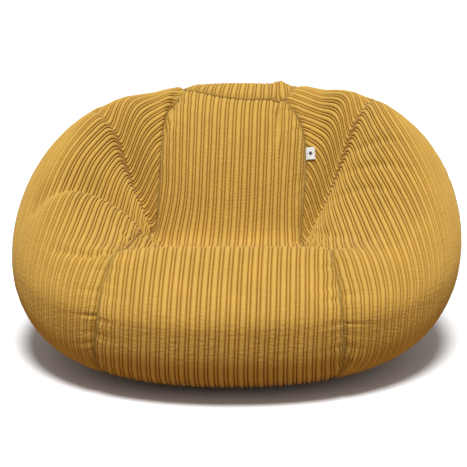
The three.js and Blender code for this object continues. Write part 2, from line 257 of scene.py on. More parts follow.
def crease_push(points, crease):
    """How far a crease presses each point in: deepest at its line, and fading out at its ends."""
    path, depth, width = crease
    turns, slopes = np.array(path, float).T
    fine = np.linspace(0, len(path) - 1, 12 * len(path))
    stops = np.arange(len(path))
    line = body(np.radians(np.interp(fine, stops, turns)), np.interp(fine, stops, slopes))
    fade = np.sin(math.pi * np.linspace(0.04, 0.96, len(line))) ** 0.7
    push = np.zeros(points.shape[:-1])
    for middle, strength in zip(line, fade):
        away = np.linalg.norm(points - middle, axis=-1)
        np.maximum(push, strength * np.exp(-((away / width) ** 2)), out=push)
    return depth * push


class Skin:
    """The creased surface on a regular grid of turn and slope, with smooth values between its points."""

    def __init__(self, turns=960, slopes=330):
        self.turns = turns
        self.slopes = slopes
        turn = np.arange(turns) * 2 * math.pi / turns
        slope = np.linspace(0, math.pi, slopes + 1)
        turn, slope = np.meshgrid(turn, slope)
        self.smooth = body(turn, slope, False)
        self.points = body(turn, slope)
        inside = np.clip(slope, 0.1, math.pi - 0.1)
        out = directions(body, turn, inside, 0.012, 0.012)
        push = np.zeros(turn.shape)
        for crease in CREASES:
            push = push + crease_push(self.points, crease)
        self.points = self.points - out * push[..., None]
        self.points[..., 2] = np.maximum(self.points[..., 2], 0)

    def __call__(self, turn, slope, grid=None):
        """Catmull-Rom values between the grid's points."""
        grid = self.points if grid is None else grid
        column = np.mod(turn / (2 * math.pi) * self.turns, self.turns)
        row = np.clip(slope / math.pi * self.slopes, 0, self.slopes)
        column, row = np.broadcast_arrays(column, row)
        c0 = np.floor(column).astype(int)
        r0 = np.minimum(np.floor(row).astype(int), self.slopes - 1)
        across = blend_weights(column - c0)
        down = blend_weights(row - r0)
        total = 0
        for i in range(4):
            level = np.clip(r0 + i - 1, 0, self.slopes)
            for j in range(4):
                weight = down[i] * across[j]
                total = total + grid[level, (c0 + j - 1) % self.turns] * weight[..., None]
        return total


def blend_weights(t):
    return (
        -0.5 * t + t**2 - 0.5 * t**3,
        1 - 2.5 * t**2 + 1.5 * t**3,
        0.5 * t + 2 * t**2 - 1.5 * t**3,
        -0.5 * t**2 + 0.5 * t**3,
    )


def slope_at(turn, row):
    """The slope of a row: the edges of the cap and of the base are six-sided."""
    in_gore = np.mod(turn + GORE_TURN / 2, GORE_TURN) - GORE_TURN / 2
    cap_edge = CAP_APOTHEM / np.cos(in_gore)
    base_edge = math.pi - BASE_APOTHEM / np.cos(in_gore)
    on_cap = cap_edge * row / CAP_ROWS
    down = row - CAP_ROWS
    on_gore = cap_edge + (base_edge - cap_edge) * down / GORE_ROWS
    on_base = base_edge + (math.pi - base_edge) * (down - GORE_ROWS) / BASE_ROWS
    return np.where(row <= CAP_ROWS, on_cap, np.where(down <= GORE_ROWS, on_gore, on_base))


# ---- Mesh building ----
def mesh_object(name, points, triangles, material, smooth=True, values=None, vectors=None):
    """A mesh from points in millimetres. values and vectors are named attributes, one for each point."""
    mesh = bpy.data.meshes.new(name)
    points = np.asarray(points, float)
    triangles = np.asarray(triangles, int)
    mesh.vertices.add(len(points))
    mesh.vertices.foreach_set("co", (points * MM).astype(np.float32).ravel())
    mesh.loops.add(triangles.size)
    mesh.loops.foreach_set("vertex_index", triangles.ravel().astype(np.int32))
    mesh.polygons.add(len(triangles))
    mesh.polygons.foreach_set("loop_start", np.arange(0, triangles.size, 3, dtype=np.int32))
    mesh.update(calc_edges=True)
    mesh.polygons.foreach_set("use_smooth", np.full(len(triangles), smooth))
    for key, data in (values or {}).items():
        mesh.attributes.new(key, "FLOAT", "POINT").data.foreach_set("value", data.astype(np.float32).ravel())
    for key, data in (vectors or {}).items():
        layer = mesh.attributes.new(key, "FLOAT_VECTOR", "POINT")
        layer.data.foreach_set("vector", data.astype(np.float32).ravel())
    mesh.validate()
    mesh.materials.append(material)
    piece = bpy.data.objects.new(name, mesh)
    bpy.context.scene.collection.objects.link(piece)
    return piece


def two_triangles(a, b, c, d):
    """Triangles of quads whose corners run round a, b, c, d."""
    return np.concatenate([np.stack([a, b, c], -1).reshape(-1, 3), np.stack([a, c, d], -1).reshape(-1, 3)])


def closed_panel(outer, inner, merge_outer, merge_inner, every):
    """One closed shell from an outer and an inner grid of points, both as (row, column, xyz).

    The inner grid has every so many of the outer grid's columns. merge_outer and merge_inner give, for each
    grid point, the column whose point it shares, so that columns that have run into a seam are one point.
    """
    rows, columns = outer.shape[:2]
    inner_columns = inner.shape[1]
    base = np.arange(rows)[:, None]
    top = base * columns + merge_outer
    under = rows * columns + base * inner_columns + merge_inner
    faces = [
        two_triangles(top[:-1, :-1], top[1:, :-1], top[1:, 1:], top[:-1, 1:]),
        two_triangles(under[:-1, :-1], under[:-1, 1:], under[1:, 1:], under[1:, :-1]),
        two_triangles(top[:-1, 0], under[:-1, 0], under[1:, 0], top[1:, 0]),
        two_triangles(top[:-1, -1], top[1:, -1], under[1:, -1], under[:-1, -1]),
    ]
    for row, flip in ((0, False), (rows - 1, True)):
        strip = []
        for cell in range(inner_columns - 1):
            first = cell * every
            last = min(first + every, columns - 1)
            half = (first + last) // 2
            a, b = under[row, cell], under[row, cell + 1]
            strip += [(a, top[row, k], top[row, k + 1]) for k in range(first, half)]
            strip.append((a, top[row, half], b))
            strip += [(b, top[row, k], top[row, k + 1]) for k in range(half, last)]
        strip = np.array(strip)
        faces.append(strip[:, ::-1] if flip else strip)
    triangles = np.concatenate(faces)
    a, b, c = triangles.T
    triangles = triangles[(a != b) & (b != c) & (a != c)]
    points = np.concatenate([outer.reshape(-1, 3), inner.reshape(-1, 3)])
    return points, triangles


def used_only(points, triangles, *layers):
    """The points that triangles use, and the same rows of each layer."""
    used, triangles = np.unique(triangles, return_inverse=True)
    return points[used], triangles.reshape(-1, 3), [layer[used] for layer in layers]


# ---- Ribs of the corduroy: a wide one and a narrow one in each repeat ----
WIDE_STEPS = (0, 0.06, 0.14, 0.28, 0.5, 0.72, 0.86, 0.94)
NARROW_STEPS = (0, 0.15, 0.4, 0.6, 0.85)
STEPS_PER_REPEAT = len(WIDE_STEPS) + len(NARROW_STEPS)


def rib_columns(half_width, sizes, seed):
    """Distances from the middle, and the rib's height at each, for whole repeats that reach past half_width."""
    repeat = sizes.rib_repeat / MM
    share = sizes.wide_share
    wide, narrow = sizes.wide_height / MM, sizes.narrow_height / MM
    count = int(math.ceil(half_width / repeat)) + 1
    draw = np.random.default_rng(seed)
    where, height = [], []
    for repeat_index in range(-count, count):
        start = (repeat_index + 0.5 - share / 2) * repeat
        tall = draw.uniform(0.92, 1.06)
        for t in WIDE_STEPS:
            where.append(start + t * share * repeat)
            height.append(tall * wide * (1 - abs(2 * t - 1) ** 2.6) ** 0.75)
        for t in NARROW_STEPS:
            where.append(start + (share + t * (1 - share)) * repeat)
            height.append(tall * narrow * (1 - abs(2 * t - 1) ** 2.2) ** 0.7)
    where.append(where[0] + 2 * count * repeat)
    height.append(0.0)
    return np.array(where), np.array(height)


def gore_grids(skin, index, sizes):
    """Outer and inner grids of a gore, whose columns keep their distance from the gore's middle line."""
    middle = index * GORE_TURN
    edge = GORE_TURN / 2 - SEAM_TURN
    turns = np.linspace(-edge, edge, 241)
    rows = np.linspace(CAP_ROWS + 0.004, CAP_ROWS + GORE_ROWS - 0.004, sizes.gore_rows + 1)
    line = skin(middle + turns[None], slope_at(turns[None], rows[:, None]), skin.smooth)
    steps = np.linalg.norm(np.diff(line, axis=1), axis=-1)
    arc = np.concatenate([np.zeros((len(rows), 1)), np.cumsum(steps, 1)], 1)
    arc = arc - arc[:, 120:121]
    down = np.linalg.norm(np.diff(line[:, 120], axis=0), axis=-1)
    down = np.concatenate([[0], np.cumsum(down)])
    columns, height = rib_columns(max(arc[:, -1].max(), -arc[:, 0].min()), sizes, 10 + index)

    left, right = arc[:, :1], arc[:, -1:]
    where = np.broadcast_to(columns, (len(rows), len(columns)))
    to_left, to_right = where - left, right - where
    near_left = np.exp(-np.clip(to_left, 0, None) / 26)
    near_right = np.exp(-np.clip(to_right, 0, None) / 26)
    wave_left = ripple(down, 100 + index)[:, None]
    wave_right = ripple(down, 200 + index)[:, None]
    shifted = where + 1.5 * (near_left * wave_left - near_right * wave_right)
    shifted = shifted + 0.35 * ripple(down[:, None] + 0.15 * where, 300 + index, (160.0, 260.0))
    turn = np.stack([np.interp(shifted[r], arc[r], turns) for r in range(len(rows))])
    seam_left = turn <= -edge + 1e-7
    seam_right = turn >= edge - 1e-7
    distance = np.clip(np.minimum(shifted - left, right - shifted), 0, None)
    distance = np.where(seam_left | seam_right, 0, distance)

    top = sizes.wide_height / MM
    dip = sizes.seam_dip / MM
    full = 0.3 + 0.7 * ease(0, 7, distance)
    grooves = (height[None] - top) * full
    pucker = near_left * np.clip(wave_left, 0, None) + near_right * np.clip(wave_right, 0, None)
    ends = np.minimum(down, down[-1] - down)[:, None]
    push = grooves - dip * np.exp(-((distance / 6) ** 1.5)) - 3.4 * pucker * (1 - np.exp(-distance / 5))
    push = push - dip * np.exp(-((ends / 6) ** 1.5)) * (1 - np.exp(-distance / 4))
    push = np.where(seam_left | seam_right, -dip - 1.2, push)

    def place(turn_, row_):
        return skin(middle + turn_, slope_at(turn_, row_))

    row_grid = np.broadcast_to(rows[:, None], turn.shape)
    facing = np.clip(turn, -edge, edge)
    normal = directions(lambda t, s: skin(middle + t, s), facing, slope_at(turn, row_grid), 0.006, 0.006)
    outer = place(turn, row_grid) + normal * push[..., None]
    outer[..., 2] = np.maximum(outer[..., 2], 0)

    pick = np.arange(0, len(columns), STEPS_PER_REPEAT)
    inner = place(turn[:, pick], row_grid[:, pick]) - normal[:, pick] * (sizes.cover_depth / MM)
    order = np.broadcast_to(np.arange(len(columns)), turn.shape)
    last_left = np.maximum(seam_left.sum(1) - 1, 0)[:, None]
    first_right = (len(columns) - np.maximum(seam_right.sum(1), 1))[:, None]
    merge = np.clip(order, last_left, first_right)
    merge_inner = np.clip(
        np.broadcast_to(np.arange(len(pick)), (len(rows), len(pick))),
        np.ceil(np.maximum(seam_left[:, pick].sum(1) - 1, 0))[:, None],
        (len(pick) - np.maximum(seam_right[:, pick].sum(1), 1))[:, None],
    ).astype(int)
    # rib is the rib height, which sets the painted shade in the grooves.
    rib = np.broadcast_to(height[None] / top, turn.shape)
    # seam is the nearness to a seam, which sets the painted shade along the seams.
    seam = np.exp(-((distance / 7) ** 2))
    grain = np.stack([where, np.broadcast_to(down[:, None], turn.shape), 0 * where], -1)
    return outer, inner, merge, merge_inner, rib, seam, grain, pick


def ribbed_object(name, grids, material):
    outer, inner, merge, merge_inner, rib, seam, grain, pick = grids
    points, triangles = closed_panel(outer, inner, merge, merge_inner, STEPS_PER_REPEAT)
    layers = [np.concatenate([layer.reshape(-1), layer[:, pick].reshape(-1)]) for layer in (rib, seam)]
    grain = np.concatenate([grain.reshape(-1, 3), grain[:, pick].reshape(-1, 3)]) * MM
    points, triangles, (rib, seam, grain) = used_only(points, triangles, *layers, grain)
    return mesh_object(name, points, triangles, material, True, {"rib": rib, "seam": seam}, {"grain": grain})


def cap_grids(skin, sizes):
    """Outer and inner grids of the six-sided cap, whose ribs run from its front edge to its rear edge."""
    corner = CAP_APOTHEM / math.cos(GORE_TURN / 2)
    gap = 0.0015
    sides = np.linspace(-corner, corner, 401)
    level = skin(np.arctan2(sides, 0.3), np.hypot(sides, 0.3))
    arc = np.concatenate([[0], np.cumsum(np.linalg.norm(np.diff(level, axis=0), axis=-1))])
    arc = arc - arc[200]
    columns, height = rib_columns(max(arc[-1], -arc[0]), sizes, 10)
    order = np.arange(len(columns))
    keep = slice(np.searchsorted(columns, arc[0]) // STEPS_PER_REPEAT * STEPS_PER_REPEAT, None)
    columns, height = columns[keep], height[keep]
    last = min(-(-np.searchsorted(columns, arc[-1]) // STEPS_PER_REPEAT) * STEPS_PER_REPEAT, len(columns) - 1)
    columns, height = columns[: last + 1], height[: last + 1]
    order = np.arange(len(columns))
    across = np.interp(columns, arc, sides)
    reach = np.minimum(CAP_APOTHEM, (corner - np.abs(across)) * math.tan(math.pi / 3)) - gap
    reach = np.maximum(reach, 0.0)
    rows = np.linspace(-1, 1, sizes.cap_rows + 1)[:, None]
    forward = rows * reach[None]
    side = np.broadcast_to(across, forward.shape)

    def place(side_, forward_):
        return skin(np.arctan2(side_, forward_), np.hypot(side_, forward_))

    normal = directions(place, side, forward, 0.012, 0.012)
    per_slope = 300.0
    to_edge = np.clip(np.minimum(CAP_APOTHEM - np.abs(forward), 10), 0, None)
    slanted = (corner - np.abs(side)) * math.sin(math.pi / 3) - np.abs(forward) * 0.5
    distance = np.clip(np.minimum(to_edge, slanted), 0, None) * per_slope
    top = sizes.wide_height / MM
    dip = sizes.seam_dip / MM
    full = 0.3 + 0.7 * ease(0, 7, distance)
    length = side * per_slope
    pucker = np.exp(-distance / 20) * np.clip(ripple(length, 61), 0, None)
    push = (height[None] - top) * full - dip * np.exp(-((distance / 7) ** 1.5))
    push = push - 2.6 * pucker * (1 - np.exp(-distance / 5))
    outer = place(side, forward) + normal * push[..., None]
    pick = np.arange(0, len(columns), STEPS_PER_REPEAT)
    inner = place(side[:, pick], forward[:, pick]) - normal[:, pick] * (sizes.cover_depth / MM)
    merge = np.broadcast_to(order, side.shape)
    merge_inner = np.broadcast_to(np.arange(len(pick)), (len(rows), len(pick)))
    # rib is the rib height, which sets the painted shade in the grooves.
    rib = np.broadcast_to(height[None] / top, side.shape)
    # seam is the nearness to a seam, which sets the painted shade along the seams.
    seam = np.exp(-((distance / 7) ** 2))
    grain = np.stack([np.broadcast_to(columns, side.shape), forward * per_slope, 0 * side], -1)
    return outer, inner, merge, merge_inner, rib, seam, grain, pick


# ---- Smooth layers inside the cover, and flat pieces ----
def layer_points(skin, turn, row, depth):
    """Points of the skin, further in. Near both poles the surface faces straight along the pole."""
    slope = slope_at(turn, row)
    safe = np.clip(slope, 0.1, math.pi - 0.1)
    facing = np.where(np.sin(slope) < 0.001, 0, turn)
    normal = directions(skin, facing, safe, 0.05, 0.05)
    points = skin(turn, slope) - normal * np.asarray(depth)[..., None]
    points[..., 2] = np.maximum(points[..., 2], 0)
    return points


def layer_object(name, skin, turns, rows, depth, thickness, material, bumps=0.0, seed=1):
    """A closed layer between two turns and two rows, with uneven bumps of that height over its outside."""
    turn, row = np.meshgrid(turns, rows)
    lift = bumps * ripple(turn * 380, seed) * ripple(row * 45, seed + 1)
    outer = layer_points(skin, turn, row, depth + 0 * turn - lift)
    inner = layer_points(skin, turn, row, depth + thickness + 0 * turn)
    order = np.broadcast_to(np.arange(len(turns)), turn.shape)
    points, triangles = closed_panel(outer, inner, order, order, 1)
    grain = np.stack([turn * 380, row * 45, 0 * turn], -1).reshape(-1, 3) * MM
    return mesh_object(name, points, triangles, material, True, None, {"grain": np.concatenate([grain, grain])})


def block_grid(name, low, high, counts, material, shape=None, round_by=0.0):
    """A box of fine squares between two corners in millimetres, which shape(points) may bend."""
    low, high = np.array(low, float), np.array(high, float)
    points, faces, index = [], [], {}

    def vertex(key):
        if key not in index:
            index[key] = len(points)
            points.append(key)
        return index[key]

    for axis in range(3):
        u, v = (axis + 1) % 3, (axis + 2) % 3
        for side in (0, counts[axis]):
            for i in range(counts[u]):
                for j in range(counts[v]):
                    corners = []
                    for di, dj in ((0, 0), (1, 0), (1, 1), (0, 1)):
                        key = [0, 0, 0]
                        key[axis], key[u], key[v] = side, i + di, j + dj
                        corners.append(vertex(tuple(key)))
                    if side == 0:
                        corners.reverse()
                    faces += [(corners[0], corners[1], corners[2]), (corners[0], corners[2], corners[3])]
    share = np.array(points, float) / np.array(counts)
    where = low + share * (high - low)
    if round_by:
        inside = np.clip(where, low + round_by, high - round_by)
        away = where - inside
        length = np.maximum(np.linalg.norm(away, axis=-1, keepdims=True), 1e-9)
        where = inside + away * np.minimum(1, round_by / length)
    grain = where.copy() * MM
    if shape:
        where = shape(where, share)
    return mesh_object(name, where, faces, material, True, None, {"grain": grain})


def node_box(node):
    low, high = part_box(node)
    return np.array(low) / MM, np.array(high) / MM


def take_over(piece, body_name, slot, *nodes):
    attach(piece, body_name)
    if nodes:
        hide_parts(*nodes)
    return piece


def base_half(skin, name, side, sizes, material):
    """Half of the base: ribs run away from the zip, whose edge is turned under and stitched down."""
    low, high = node_box(name)
    zip_edge = low[1] if side > 0 else high[1]
    turn = np.linspace(0, 2 * math.pi, 1441)
    rim = skin(turn, slope_at(turn, CAP_ROWS + GORE_ROWS + 0.01))[:, :2]
    half = rim[(rim[:, 1] - zip_edge) * side > 0]
    half = half[np.argsort(half[:, 0])]
    middle = (low[0] + high[0]) / 2
    columns, height = rib_columns((high[0] - low[0]) / 2, sizes, 40 + side)
    inside = (columns > low[0] - middle + 0.5) & (columns < high[0] - middle - 0.5)
    columns, height = columns[inside], height[inside]
    outline = np.interp(columns + middle, half[:, 0], half[:, 1])
    rows = np.linspace(0, 1, 41)[:, None]
    first, last = (outline, zip_edge + 0 * outline) if side < 0 else (zip_edge + 0 * outline, outline)
    y = first[None] + (last - first)[None] * rows
    x = np.broadcast_to(columns + middle, y.shape)
    edge = np.minimum(np.abs(y - zip_edge), np.abs(last - first)[None] * np.minimum(rows, 1 - rows))
    top = sizes.wide_height / MM
    grooves = (top - height[None]) * (0.15 + 0.4 * ease(0, 9, edge))
    fold = 1.2 * bell(np.abs(y - zip_edge), 7.5, 1.4)
    z = low[2] + 0.1 + grooves * 0.6 + fold * 0.5
    outer = np.stack([x, y, z], -1)
    inner = np.stack([x, y, 0 * x + high[2]], -1)
    order = np.broadcast_to(np.arange(len(columns)), x.shape)
    points, triangles = closed_panel(outer, inner, order, order, 1)
    # rib is the rib height, which sets the painted shade in the base's grooves.
    rib = 1 - grooves / top
    both = np.concatenate([rib.ravel(), rib.ravel()])
    grain = np.stack([x, y, 0 * x], -1).reshape(-1, 3) * MM
    values = {"rib": both, "seam": 0 * both}
    return mesh_object(name + "_panel", points, triangles[:, ::-1] if side > 2 else triangles, material, True,
                       values, {"grain": np.concatenate([grain, grain])})


def tube_object(name, line, radius, sides, material):
    """A closed tube along a line of points in millimetres."""
    line = np.asarray(line, float)
    ahead = np.gradient(line, axis=0)
    ahead /= np.linalg.norm(ahead, axis=-1, keepdims=True)
    first = np.cross(ahead, np.array([0.3, 0.5, 0.81]))
    first /= np.maximum(np.linalg.norm(first, axis=-1, keepdims=True), 1e-9)
    second = np.cross(ahead, first)
    angle = np.arange(sides) * 2 * math.pi / sides
    ring = np.cos(angle)[None, :, None] * first[:, None] + np.sin(angle)[None, :, None] * second[:, None]
    points = (line[:, None] + radius * ring).reshape(-1, 3)
    count = len(line)
    a = (np.arange(count - 1)[:, None] * sides + np.arange(sides)[None])
    b = (np.arange(count - 1)[:, None] * sides + (np.arange(sides)[None] + 1) % sides)
    faces = two_triangles(a, b, b + sides, a + sides)
    caps = [(0, k + 1, k) for k in range(1, sides - 1)]
    caps += [((count - 1) * sides, (count - 1) * sides + k, (count - 1) * sides + k + 1) for k in range(1, sides - 1)]
    return mesh_object(name, points, np.concatenate([faces, caps]), material)


def coil_line(low, high, side, pitch=1.3):
    """The centre line of a nylon coil inside a box: flat loops, one for each tooth."""
    turns = int((high[0] - low[0] - 2) / pitch)
    t = np.linspace(0, turns * 2 * math.pi, turns * 10 + 1)
    middle, half = (low + high) / 2, (high - low) / 2 - 0.45
    x = middle[0] + (t / (2 * math.pi) - turns / 2) * pitch
    return np.stack([x, middle[1] + half[1] * np.cos(t) * side, middle[2] + half[2] * np.sin(t)], -1)


def label_points(points, share, frame_axes, middle, curl):
    across, along, out = frame_axes
    lift = curl * ease(0.1, 1, share[:, 0]) + 0.35 * np.sin(3.1 * share[:, 1] + 0.4)
    return middle + points[:, :1] * across + points[:, 1:2] * along + (points[:, 2:] + lift[:, None]) * out


# ---- Shader node groups shared by the materials ----
def group_of(name, inputs, outputs):
    tree = bpy.data.node_groups.new(name, "ShaderNodeTree")
    for label, kind, value in inputs:
        socket = tree.interface.new_socket(label, in_out="INPUT", socket_type=kind)
        if value is not None:
            socket.default_value = value
    for label, kind in outputs:
        tree.interface.new_socket(label, in_out="OUTPUT", socket_type=kind)
    return tree, tree.nodes.new("NodeGroupInput"), tree.nodes.new("NodeGroupOutput")


def node_in(tree, kind, settings=None, **values):
    """A new node, with its properties from settings and its input sockets from values or links."""
    node = tree.nodes.new("ShaderNode" + kind)
    for key, value in (settings or {}).items():
        setattr(node, key, value)
    for key, value in values.items():
        socket = node.inputs[int(key[1:])] if key[1:].isdigit() else node.inputs[key.replace("_", " ")]
        if isinstance(value, bpy.types.NodeSocket):
            tree.links.new(value, socket)
        else:
            socket.default_value = value
    return node


def math_in(tree, operation, a, b=0.0, c=0.0):
    return node_in(tree, "Math", {"operation": operation}, i0=a, i1=b, i2=c).outputs[0]


def pile_group():
    """Cut pile: uneven fibres, cross wrinkles on the ribs and soft patches of nap."""
    tree, enter, leave = group_of(
        "Cut pile",
        [("Grain", "NodeSocketVector", None), ("Rib", "NodeSocketFloat", 1.0)],
        [("Height", "NodeSocketFloat"), ("Nap", "NodeSocketFloat"), ("Fibres", "NodeSocketFloat")],
    )
    grain, rib = enter.outputs["Grain"], enter.outputs["Rib"]
    long_way = node_in(tree, "Mapping", Vector=grain, Scale=(1.0, 0.45, 1.0)).outputs[0]
    fibres = node_in(tree, "TexNoise", Vector=long_way, Scale=1500.0, Detail=3.0, Roughness=0.65).outputs[0]
    wrinkle_way = node_in(tree, "Mapping", Vector=grain, Scale=(0.35, 1.0, 1.0)).outputs[0]
    wrinkles = node_in(tree, "TexNoise", Vector=wrinkle_way, Scale=190.0, Detail=2.0, Roughness=0.5).outputs[0]
    nap = node_in(tree, "TexNoise", Vector=grain, Scale=17.0, Detail=3.0, Roughness=0.55).outputs[0]
    wrinkled = math_in(tree, "MULTIPLY", math_in(tree, "SUBTRACT", wrinkles, 0.5), math_in(tree, "MULTIPLY", rib, 1.4))
    height = math_in(tree, "MULTIPLY_ADD", fibres, 0.32, wrinkled)
    tree.links.new(height, leave.inputs["Height"])
    tree.links.new(nap, leave.inputs["Nap"])
    tree.links.new(fibres, leave.inputs["Fibres"])
    return tree


def weave_group():
    """Plain weave: threads over and under each other at a pitch set by Threads, in threads for each metre."""
    tree, enter, leave = group_of(
        "Plain weave",
        [("Grain", "NodeSocketVector", None), ("Threads", "NodeSocketFloat", 1500.0)],
        [("Height", "NodeSocketFloat"), ("Shade", "NodeSocketFloat")],
    )
    turn = math_in(tree, "MULTIPLY", enter.outputs["Threads"], math.pi)
    apart = node_in(tree, "SeparateXYZ", Vector=enter.outputs["Grain"]).outputs
    one = math_in(tree, "SINE", math_in(tree, "MULTIPLY", apart[0], turn))
    other = math_in(tree, "SINE", math_in(tree, "MULTIPLY", apart[1], turn))
    crossing = math_in(tree, "MULTIPLY", one, other)
    slub = node_in(tree, "TexNoise", Vector=enter.outputs["Grain"], Scale=420.0, Detail=3.0).outputs[0]
    height = math_in(tree, "MULTIPLY_ADD", crossing, 0.5, math_in(tree, "MULTIPLY", slub, 0.6))
    shade = math_in(tree, "MULTIPLY_ADD", slub, 0.7, math_in(tree, "MULTIPLY", crossing, 0.12))
    tree.links.new(height, leave.inputs["Height"])
    tree.links.new(shade, leave.inputs["Shade"])
    return tree


def placed(tree, group, **links):
    node = tree.nodes.new("ShaderNodeGroup")
    node.node_tree = group
    for key, value in links.items():
        if isinstance(value, bpy.types.NodeSocket):
            tree.links.new(value, node.inputs[key])
        else:
            node.inputs[key].default_value = value
    return node.outputs


def new_material(name, **surface):
    material = bpy.data.materials.new(name)
    material.use_nodes = True
    tree = material.node_tree
    shader = tree.nodes["Principled BSDF"]
    for key, value in surface.items():
        shader.inputs[key.replace("_", " ")].default_value = value
    material.diffuse_color = (*surface.get("Base_Color", (0.8, 0.8, 0.8, 1))[:3], 1)
    return material, tree, shader


def attribute_in(tree, name):
    node = tree.nodes.new("ShaderNodeAttribute")
    node.attribute_name = name
    return node.outputs


def mixed(tree, factor, a, b, blend="MIX"):
    node = tree.nodes.new("ShaderNodeMix")
    node.data_type = "RGBA"
    node.blend_type = blend
    for socket, value in ((node.inputs[0], factor), (node.inputs[6], a), (node.inputs[7], b)):
        if isinstance(value, bpy.types.NodeSocket):
            tree.links.new(value, socket)
        else:
            socket.default_value = value
    return node.outputs[2]


def ramp_in(tree, value, *stops):
    node = tree.nodes.new("ShaderNodeValToRGB")
    tree.links.new(value, node.inputs[0])
    elements = node.color_ramp.elements
    for element, (place, colour) in zip(elements, (stops[0], stops[-1])):
        element.position = place
        element.color = colour
    for place, colour in stops[1:-1]:
        elements.new(place).color = colour
    return node.outputs[0]


def bump_in(tree, shader, height, depth, strength=1.0):
    bump = node_in(tree, "Bump", Height=height, Distance=depth, Strength=strength)
    tree.links.new(bump.outputs[0], shader.inputs["Normal"])


def shade_of(colour, factor):
    return (*[channel * factor for channel in colour[:3]], 1)


def corduroy(name, group, colours, pile_depth=0.0012):
    """Ribbed cut pile, with painted shade in the grooves and along the seams, and paler where the nap lies flat."""
    colour = (*colours.corduroy, 1)
    material, tree, shader = new_material(
        name, Base_Color=colour, Roughness=0.92, Sheen_Weight=0.16, Sheen_Roughness=0.45,
        Sheen_Tint=(1.0, 0.86, 0.6, 1), Specular_IOR_Level=0.12,
    )
    rib = attribute_in(tree, "rib")[2]
    seam = attribute_in(tree, "seam")[2]
    pile = placed(tree, group, Grain=attribute_in(tree, "grain")[1], Rib=rib)
    nap = ramp_in(tree, pile[1], (0.3, shade_of(colour, 0.93)), (0.52, colour), (0.75, shade_of(colour, 1.07)))
    fibres = ramp_in(tree, pile[2], (0.3, (0.82, 0.8, 0.76, 1)), (0.7, (1.08, 1.08, 1.08, 1)))
    top = mixed(tree, 0.75, nap, fibres, "MULTIPLY")
    # Painted shade: the colour darkens with the rib height towards the bottoms of the grooves.
    shaded_groove = ramp_in(tree, rib, (0.0, (*colours.shaded_groove, 1)), (0.45, (0.78, 0.64, 0.38, 1)), (0.9, (1, 1, 1, 1)))
    ribbed = mixed(tree, 1.0, top, shaded_groove, "MULTIPLY")
    # Painted shade along the seams, where the cloth is drawn in.
    seam_shaded = mixed(tree, math_in(tree, "MULTIPLY", seam, 0.45), ribbed, shade_of(colour, 0.45))
    tree.links.new(seam_shaded, shader.inputs["Base Color"])
    rough = math_in(tree, "MULTIPLY_ADD", pile[1], 0.14, 0.84)
    tree.links.new(rough, shader.inputs["Roughness"])
    bump_in(tree, shader, pile[0], pile_depth)
    return material


def woven(name, group, colour, threads, depth, roughness=0.85, variation=0.22, sheen=0.1):
    colour = (*colour, 1)
    material, tree, shader = new_material(
        name, Base_Color=colour, Roughness=roughness, Sheen_Weight=sheen, Specular_IOR_Level=0.3
    )
    weave = placed(tree, group, Grain=attribute_in(tree, "grain")[1], Threads=threads)
    shades = ramp_in(tree, weave[1], (0.2, shade_of(colour, 1 - variation)), (0.6, colour))
    tree.links.new(shades, shader.inputs["Base Color"])
    bump_in(tree, shader, weave[0], depth)
    return material


def label_material(group, colours):
    """Damask label: a fine weave with a plain lozenge woven in near its middle."""
    material = woven("Woven label", group, colours.label, 3600.0, 0.0002, 0.6, 0.15)
    tree = material.node_tree
    shader = tree.nodes["Principled BSDF"]
    plain = shader.inputs["Base Color"].links[0].from_socket
    mark = attribute_in(tree, "mark")[2]
    inked = mixed(tree, ramp_in(tree, mark, (0.45, (0, 0, 0, 1)), (0.55, (1, 1, 1, 1))), plain, (0.06, 0.06, 0.07, 1))
    tree.links.new(inked, shader.inputs["Base Color"])
    return material


def zip_metal(colours):
    """Cast zinc: fine pits and rubbed patches."""
    material, tree, shader = new_material("Zip metal", Base_Color=(*colours.metal, 1), Metallic=1.0, Roughness=0.34)
    where = node_in(tree, "TexCoord").outputs["Object"]
    rubbed = node_in(tree, "TexNoise", Vector=where, Scale=420.0, Detail=4.0).outputs[0]
    tone = ramp_in(tree, rubbed, (0.35, shade_of(colours.metal, 0.72)), (0.62, shade_of(colours.metal, 1.05)))
    tree.links.new(tone, shader.inputs["Base Color"])
    tree.links.new(math_in(tree, "MULTIPLY_ADD", rubbed, 0.3, 0.2), shader.inputs["Roughness"])
    bump_in(tree, shader, node_in(tree, "TexNoise", Vector=where, Scale=2600.0, Detail=2.0).outputs[0], 0.00008)
    return material


def coil_nylon(colours):
    """Dyed nylon wire, with a slight change of shade along its length."""
    colour = (*colours.coil, 1)
    material, tree, shader = new_material("Zip nylon", Base_Color=colour, Roughness=0.4, Coat_Weight=0.15)
    where = node_in(tree, "TexCoord").outputs["Object"]
    change = node_in(tree, "TexNoise", Vector=where, Scale=160.0, Detail=3.0).outputs[0]
    tone = ramp_in(tree, change, (0.35, shade_of(colour, 0.8)), (0.65, shade_of(colour, 1.08)))
    tree.links.new(tone, shader.inputs["Base Color"])
    bump_in(tree, shader, node_in(tree, "TexNoise", Vector=where, Scale=3000.0).outputs[0], 0.00005)
    return material


def bead_material(colours):
    """Expanded polystyrene beads packed against each other, four millimetres across, with painted shade in the gaps
    between them.
    """
    colour = (*colours.beads, 1)
    material, tree, shader = new_material("Beads", Base_Color=colour, Roughness=0.7, Subsurface_Weight=0.1)
    where = node_in(tree, "TexCoord").outputs["Object"]
    cells = node_in(tree, "TexVoronoi", Vector=where, Scale=250.0)
    # Painted shade: each bead darkens towards its edge, in the gap where it meets the next one.
    tone = ramp_in(tree, cells.outputs["Distance"], (0.1, colour), (0.75, shade_of(colour, 0.55)))
    tree.links.new(tone, shader.inputs["Base Color"])
    round_up = math_in(tree, "SUBTRACT", 1.0, cells.outputs["Distance"])
    bump_in(tree, shader, round_up, 0.002)
    return material


